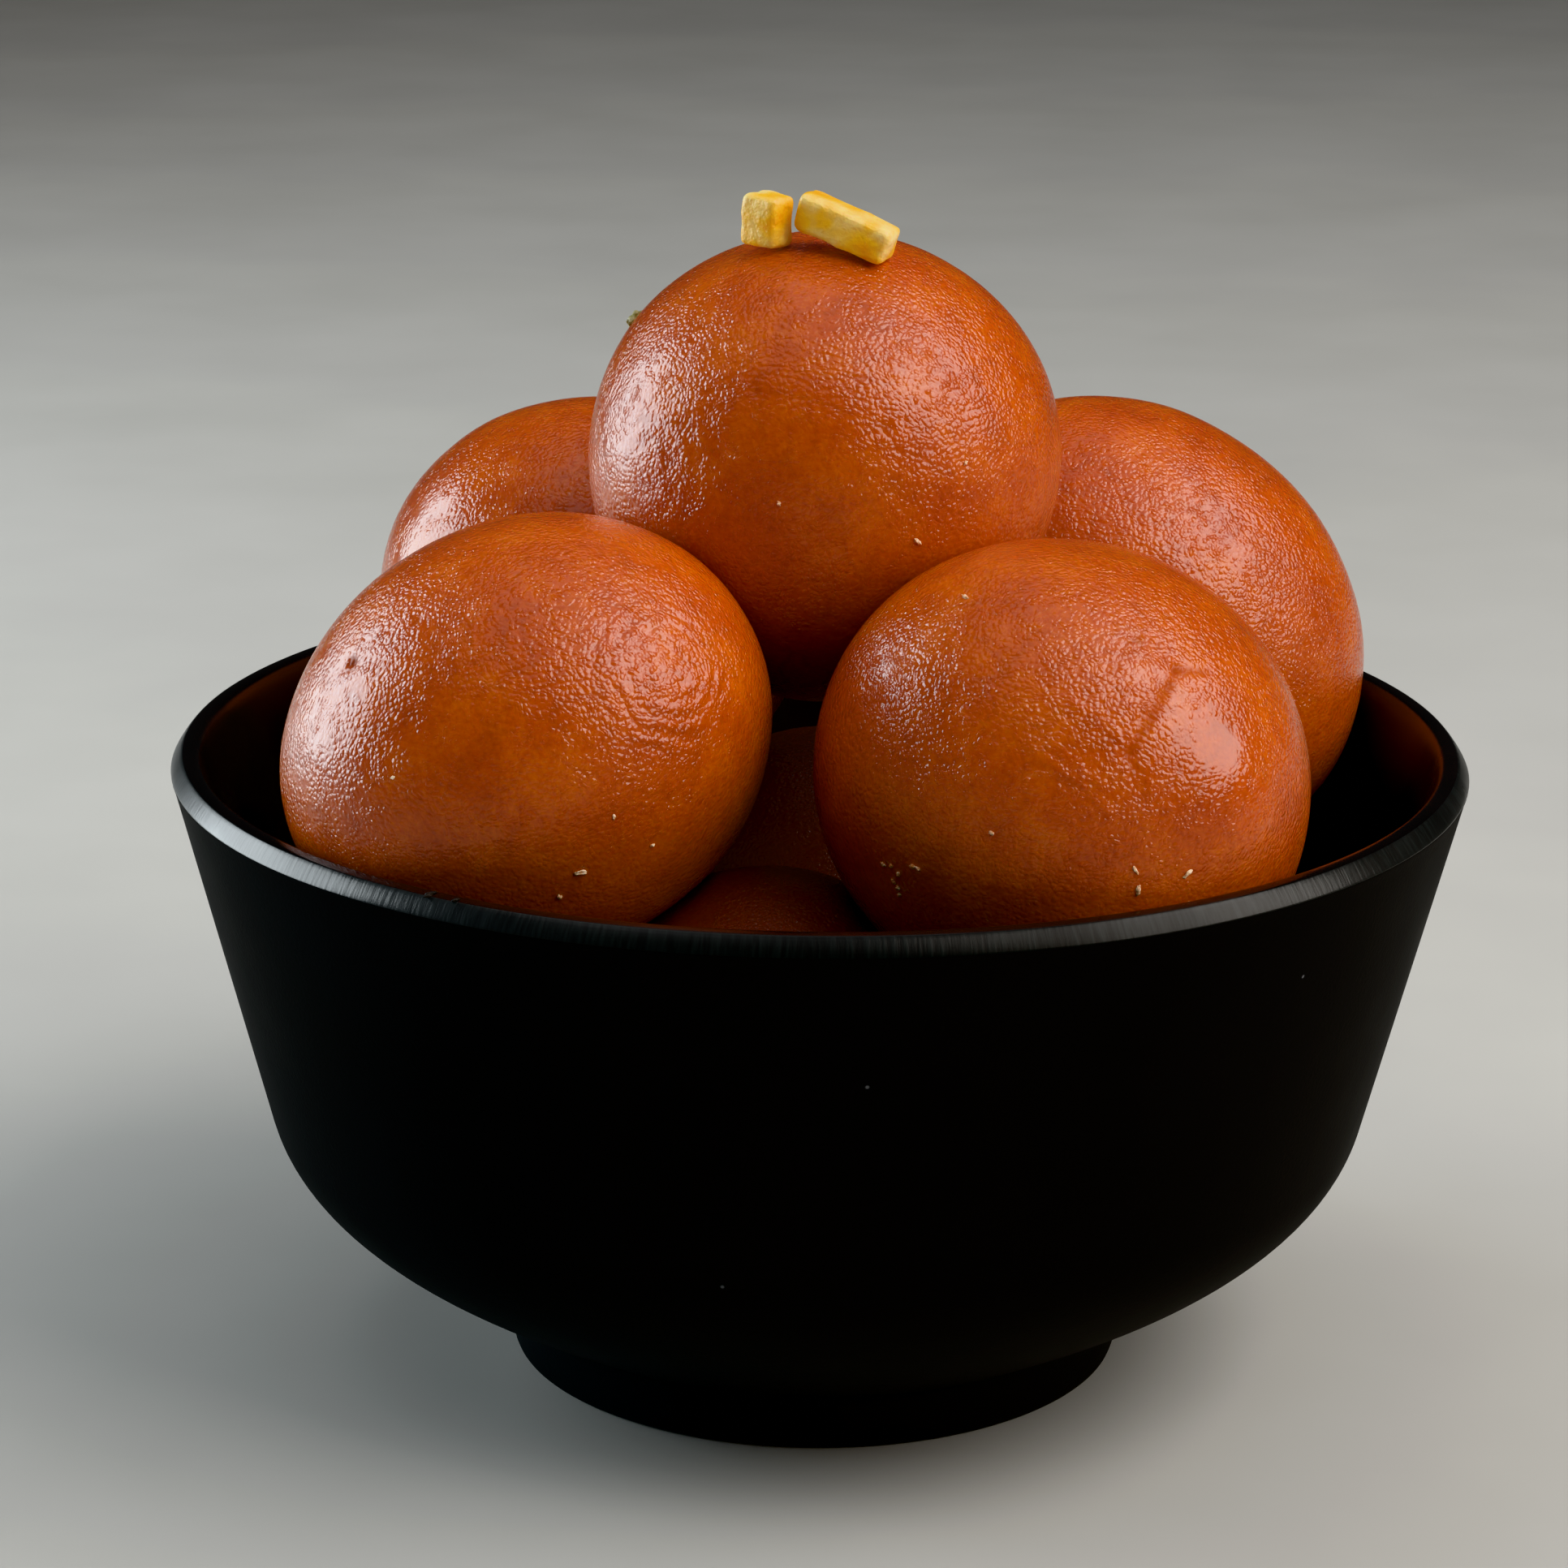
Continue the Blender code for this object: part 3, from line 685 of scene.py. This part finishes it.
CRUMBS = {  # for each ball: (turn, rise, length, width), with the angles that spot() takes
    "ball_front_left": [(16, -17, 1.15, 0.42), (11, -24, 0.5, 0.35), (23, -3, 0.45, 0.3),
                        (-30, 5, 0.4, 0.3), (34, -12, 0.45, 0.3)],
    "ball_front_right": [(-49, -9.5, 0.5, 0.4), (-46.5, -9.3, 0.4, 0.35), (-44.5, -11, 0.5, 0.4),
                         (-40, -8, 0.6, 0.4), (-38.5, -8.3, 0.45, 0.35), (-46.5, -13.3, 0.45, 0.35),
                         (-45.5, -14.7, 0.45, 0.4), (-45.5, -16.5, 0.45, 0.35),
                         (-52, 57, 0.7, 0.4), (13, -5, 0.9, 0.3), (14, -10, 0.9, 0.4),
                         (26, -7, 0.9, 0.35), (-20, 3, 0.5, 0.3)],
    "ball_top": [(22, -6, 0.8, 0.4), (-12, 4, 0.4, 0.3), (35, 12, 0.45, 0.3)],
}
GREEN_SCRAP = (-102, 36, 2.0, 1.3)                      # the same four, on the top ball
GREEN_SCRAP_SEED = 5
LIP_FLECKS = [(236.0, 1.3, 0.5), (238.6, 0.9, 0.4)]     # degrees round, length, width
LIP_FLECK_RADIUS = 58.7
CRUMB_HEIGHT = 0.7               # of its width
CRUMB_STANDS = 0.12              # how far its middle is above the skin, of its width


def add_crumb(shape, place, normal, length, width, seed):
    """One squashed lump lying on a surface, sunk into the syrup by a third of its height."""
    made = bmesh.ops.create_icosphere(shape, subdivisions=3, radius=0.5)["verts"]
    for vert in made:
        lump = 1.0 + 0.7 * noise.noise(vert.co * 3.0 + Vector((seed, 0.0, 0.0)))
        vert.co = Vector((vert.co.x * length, vert.co.y * width,
                          vert.co.z * width * CRUMB_HEIGHT)) * lump
    spin = Matrix.Rotation(2.4 * seed, 4, "Z")
    lie = normal.to_track_quat("Z", "Y").to_matrix().to_4x4()
    stand = Matrix.Translation(place + normal * width * CRUMB_STANDS)
    bmesh.ops.transform(shape, matrix=stand @ lie @ spin, verts=made)


def on_skin(crown, middle, turn, rise):
    """The point and the normal of a finished ball's skin in a direction from its middle."""
    place, normal = crown.ray_cast(middle, spot(turn, rise))[:2]
    return place, normal if normal.dot(place - middle) > 0 else -normal


def dried_crumb():
    """Dough that has lost its syrup: matt, pale tan and grainy over 0.3 mm."""
    made, tree, shader, place = new_material("dough_crumb_dried")
    grain = add_node(tree, "TexNoise", {"Vector": place, "Scale": 3.0, "Detail": 3.0})
    tint = add_node(tree, "ValToRGB", {"Fac": grain.outputs[0], "stops": [
        (0.35, colour("#D89C70")), (0.65, colour("#FFE0C4"))]})
    tree.links.new(tint.outputs[0], shader.inputs["Base Color"])
    relief = add_node(tree, "Bump", {"Height": grain.outputs[0], "Distance": 0.1 * MM})
    tree.links.new(relief.outputs[0], shader.inputs["Normal"])
    shader.inputs["Roughness"].default_value = 0.45
    shader.inputs["Subsurface Weight"].default_value = 0.2
    shader.inputs["Subsurface Scale"].default_value = 0.5 * MM
    return made


def green_nut():
    """A scrap of green nut, dulled to olive by the syrup, mottled over 0.6 mm."""
    made, tree, shader, place = new_material("green_nut_syruped")
    grain = add_node(tree, "TexNoise", {"Vector": place, "Scale": 1.8, "Detail": 3.0})
    tint = add_node(tree, "ValToRGB", {"Fac": grain.outputs[0], "stops": [
        (0.35, colour("#7E7C4C")), (0.65, colour("#B6AE84"))]})
    tree.links.new(tint.outputs[0], shader.inputs["Base Color"])
    relief = add_node(tree, "Bump", {"Height": grain.outputs[0], "Distance": 0.1 * MM})
    tree.links.new(relief.outputs[0], shader.inputs["Normal"])
    shader.inputs["Roughness"].default_value = 0.4
    return made


def burnt_fleck():
    """A fleck of burnt crust: nearly black and dull."""
    made, tree, shader, place = new_material("burnt_fleck")
    grain = add_node(tree, "TexNoise", {"Vector": place, "Scale": 3.0, "Detail": 2.0})
    tint = add_node(tree, "ValToRGB", {"Fac": grain.outputs[0], "stops": [
        (0.35, colour("#080706")), (0.65, colour("#1A1410"))]})
    tree.links.new(tint.outputs[0], shader.inputs["Base Color"])
    shader.inputs["Roughness"].default_value = 0.7
    return made


crumbs = bmesh.new()
count = 0
for name, places in CRUMBS.items():
    crown = skin_to_hit(name)
    for turn, rise, length, width in places:
        add_crumb(crumbs, *on_skin(crown, middles[name], turn, rise), length, width, count)
        count += 1
finish_piece("dough_crumbs", crumbs, [dried_crumb()], "glazed_dough")

scrap = bmesh.new()
turn, rise, length, width = GREEN_SCRAP
add_crumb(scrap, *on_skin(top_skin, middles["ball_top"], turn, rise), length, width,
          GREEN_SCRAP_SEED)
finish_piece("green_nut_scrap", scrap, [green_nut()], "nut")

flecks = bmesh.new()
for turn, length, width in LIP_FLECKS:
    angle = math.radians(turn)
    lip_top = Vector((LIP_FLECK_RADIUS * math.cos(angle), LIP_FLECK_RADIUS * math.sin(angle),
                      TOP - 0.05))
    add_crumb(flecks, lip_top, Vector((0.0, 0.0, 1.0)), length, width, turn)
finish_piece("lip_flecks", flecks, [burnt_fleck()], "glazed_dough")

# ---------------------------------------------------------------------------------------------
# The table, the lamps and the camera: a pale matt table top, a window to the left and a little
# behind, a wider, dimmer and higher one to the right, and a faint softbox overhead.

TABLE = 4000.0                   # half its width, so that its edge is out of sight
LAMPS = {  # degrees round, degrees up, distance, width, height (in metres), radiance, colour
    "window_left": (161.0, 13.0, 0.62, 0.48, 0.45, 6.2, "#EEF8FC"),
    "window_right": (-20.0, 40.0, 0.80, 0.78, 0.80, 4.0, "#FFF8F0"),
    "softbox_above": (-20.0, 82.0, 0.90, 1.40, 1.40, 0.9, "#FFFFFF"),
}
AIMED_AT = Vector((0.0, 0.0, 0.06))
ROOM_LIGHT = 0.06                # what the white room gives back from all round
EYE = Vector((-5.1, -413.9, 177.9))
YAW, DOWN, ROLL = 0.25, 16.61, 0.43                     # degrees


def pale_table():
    """Matt laminate: pale warm grey, with clouds 50 mm wide that hardly show."""
    made, tree, shader, place = new_material("table_matt_laminate")
    cloud = add_node(tree, "TexNoise", {"Vector": place, "Scale": 0.02, "Detail": 3.0})
    tint = add_node(tree, "ValToRGB", {"Fac": cloud.outputs[0], "stops": [
        (0.3, colour("#B6B6B3")), (0.7, colour("#BCBCB9"))]})
    tree.links.new(tint.outputs[0], shader.inputs["Base Color"])
    shader.inputs["Roughness"].default_value = 0.9
    shader.inputs["Specular IOR Level"].default_value = 0.1
    return made


def make_table():
    """A flat top at the height of the bowl's foot."""
    shape = bmesh.new()
    bmesh.ops.create_grid(shape, x_segments=1, y_segments=1, size=TABLE)
    bmesh.ops.scale(shape, vec=(MM, MM, MM), verts=shape.verts)
    mesh = bpy.data.meshes.new("table")
    shape.to_mesh(mesh)
    shape.free()
    mesh.materials.append(pale_table())
    table = bpy.data.objects.new("table", mesh)
    bpy.context.scene.collection.objects.link(table)


def add_lamp(name, turn, rise, distance, width, height, radiance, shade):
    """A soft rectangular light. turn is degrees round from +X, rise is degrees up."""
    lamp = bpy.data.lights.new(name, "AREA")
    lamp.shape = "RECTANGLE"
    lamp.size = width
    lamp.size_y = height
    lamp.energy = radiance * math.pi * width * height
    lamp.color = colour(shade)[:3]
    made = bpy.data.objects.new(name, lamp)
    turn, rise = math.radians(turn), math.radians(rise)
    level = math.cos(rise)
    way = Vector((math.cos(turn) * level, math.sin(turn) * level, math.sin(rise)))
    made.location = AIMED_AT + way * distance
    made.rotation_euler = way.to_track_quat("Z", "Y").to_euler()
    bpy.context.scene.collection.objects.link(made)


def add_camera():
    """The guest's seat: a long lens, looking down at the heap and rolled by half a degree."""
    lens = bpy.data.cameras.new("camera")
    lens.sensor_width = 36.0
    lens.lens = 106.15
    lens.clip_start = 0.01
    lens.clip_end = 50.0
    yaw, down, roll = math.radians(YAW), math.radians(DOWN), math.radians(ROLL)
    level = math.cos(down)
    forward = Vector((math.sin(yaw) * level, math.cos(yaw) * level, -math.sin(down)))
    right = forward.cross(Vector((0.0, 0.0, 1.0))).normalized()
    up = right.cross(forward)
    side = right * math.cos(roll) + up * math.sin(roll)
    top = up * math.cos(roll) - right * math.sin(roll)
    camera = bpy.data.objects.new("camera", lens)
    turn = Matrix((side, top, -forward)).transposed().to_4x4()
    camera.matrix_world = Matrix.Translation(EYE * MM) @ turn
    bpy.context.scene.collection.objects.link(camera)
    bpy.context.scene.camera = camera


make_table()
for name, lamp in LAMPS.items():
    add_lamp(name, *lamp)
add_camera()
world = bpy.data.worlds.new("studio")
world.use_nodes = True
world.node_tree.nodes["Background"].inputs[0].default_value = (1.0, 1.0, 1.0, 1.0)
world.node_tree.nodes["Background"].inputs[1].default_value = ROOM_LIGHT
bpy.context.scene.world = world
bpy.context.scene.view_settings.view_transform = "Khronos PBR Neutral"
